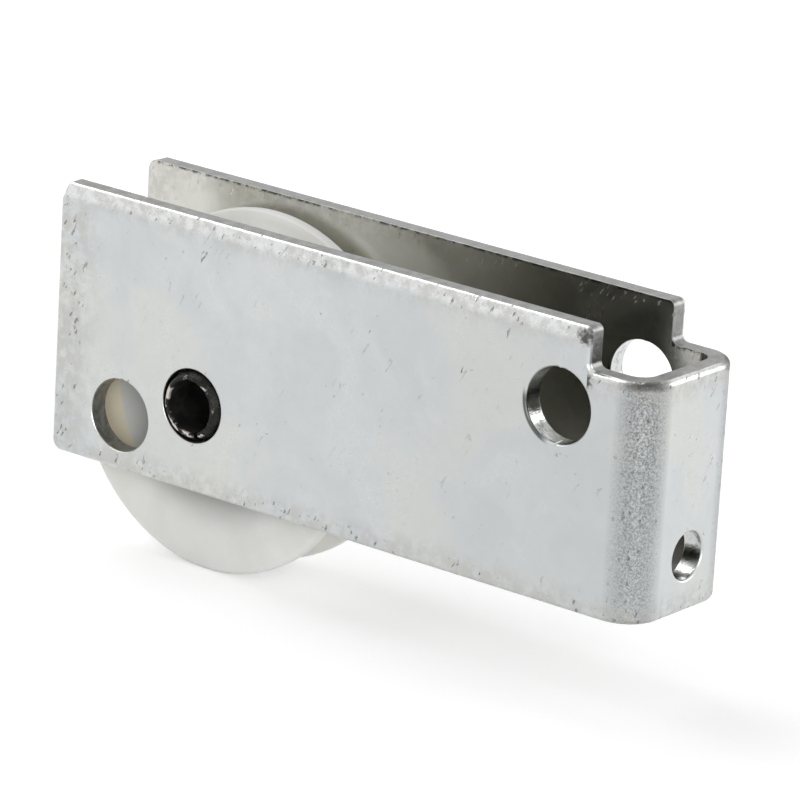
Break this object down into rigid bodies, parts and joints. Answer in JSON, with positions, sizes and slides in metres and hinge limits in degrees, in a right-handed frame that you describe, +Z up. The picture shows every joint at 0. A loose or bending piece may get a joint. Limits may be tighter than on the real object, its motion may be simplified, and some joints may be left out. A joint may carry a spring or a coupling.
{
  "type": "sliding door roller",
  "caption": "Sliding door roller: a bent steel housing that tilts on a pivot hole, with a grooved nylon wheel turning on a ball bearing and a slotted spring pin.",
  "frame": {"origin": "middle of the pivot hole's axis, midway between the two side plates", "axes": "+X towards the web that joins the plates, +Y along the wheel's axle towards the rear plate, +Z up"},
  "size_m": [0.078, 0.0174, 0.0395],
  "materials": {
    "zinc_plate": "bright zinc plate, cloudy, with small nicks",
    "black_steel": "oiled black oxide spring steel",
    "nylon": "natural white nylon, satin",
    "bearing_steel": "ground bearing steel",
    "ball_steel": "polished",
    "cage_steel": "pressed steel",
    "shield_steel": "pressed steel",
    "spacer_steel": "turned steel"
  },
  "bodies": {
    "frame": {"housing": "zinc_plate", "axle_spring_pin": "black_steel", "bearing_inner_race": "bearing_steel", "spacer_front": "spacer_steel", "spacer_rear": "spacer_steel"},
    "wheel": {"nylon_tyre": "nylon", "bearing_outer_race": "bearing_steel", "shield_front": "shield_steel", "shield_rear": "shield_steel"},
    "cage": {"cage_front_half": "cage_steel", "cage_rear_half": "cage_steel", "cage_rivet_1": "cage_steel", "cage_rivet_2": "cage_steel", "cage_rivet_3": "cage_steel", "cage_rivet_4": "cage_steel", "cage_rivet_5": "cage_steel", "cage_rivet_6": "cage_steel", "cage_rivet_7": "cage_steel"},
    "ball_1": {"ball_1": "ball_steel"},
    "ball_2": {"ball_2": "ball_steel"},
    "ball_3": {"ball_3": "ball_steel"},
    "ball_4": {"ball_4": "ball_steel"},
    "ball_5": {"ball_5": "ball_steel"},
    "ball_6": {"ball_6": "ball_steel"},
    "ball_7": {"ball_7": "ball_steel"}
  },
  "joints": [
    {"name": "wheel_spin", "type": "hinge", "parent": "frame", "child": "wheel", "pos_m": [-0.0475, 0, -0.01155], "axis": [0, 1, 0], "continuous": true},
    {"name": "cage_orbit", "type": "hinge", "parent": "frame", "child": "cage", "pos_m": [-0.0475, 0, -0.01155], "axis": [0, 1, 0], "continuous": true},
    {"name": "ball_spin_1", "type": "hinge", "parent": "cage", "child": "ball_1", "pos_m": [-0.04075, 0, -0.01155], "axis": [0, 1, 0], "continuous": true},
    {"name": "ball_spin_2", "type": "hinge", "parent": "cage", "child": "ball_2", "pos_m": [-0.04329, 0, -0.01683], "axis": [0, 1, 0], "continuous": true},
    {"name": "ball_spin_3", "type": "hinge", "parent": "cage", "child": "ball_3", "pos_m": [-0.049, 0, -0.01813], "axis": [0, 1, 0], "continuous": true},
    {"name": "ball_spin_4", "type": "hinge", "parent": "cage", "child": "ball_4", "pos_m": [-0.05358, 0, -0.01448], "axis": [0, 1, 0], "continuous": true},
    {"name": "ball_spin_5", "type": "hinge", "parent": "cage", "child": "ball_5", "pos_m": [-0.05358, 0, -0.00862], "axis": [0, 1, 0], "continuous": true},
    {"name": "ball_spin_6", "type": "hinge", "parent": "cage", "child": "ball_6", "pos_m": [-0.049, 0, -0.00497], "axis": [0, 1, 0], "continuous": true},
    {"name": "ball_spin_7", "type": "hinge", "parent": "cage", "child": "ball_7", "pos_m": [-0.04329, 0, -0.00627], "axis": [0, 1, 0], "continuous": true}
  ],
  "couplings": [
    {"joint": "cage_orbit", "follows": "wheel_spin", "ratio": 0.61759},
    {"joint": "ball_spin_1", "follows": "wheel_spin", "ratio": 2.0084},
    {"joint": "ball_spin_2", "follows": "wheel_spin", "ratio": 2.0084},
    {"joint": "ball_spin_3", "follows": "wheel_spin", "ratio": 2.0084},
    {"joint": "ball_spin_4", "follows": "wheel_spin", "ratio": 2.0084},
    {"joint": "ball_spin_5", "follows": "wheel_spin", "ratio": 2.0084},
    {"joint": "ball_spin_6", "follows": "wheel_spin", "ratio": 2.0084},
    {"joint": "ball_spin_7", "follows": "wheel_spin", "ratio": 2.0084}
  ]
}
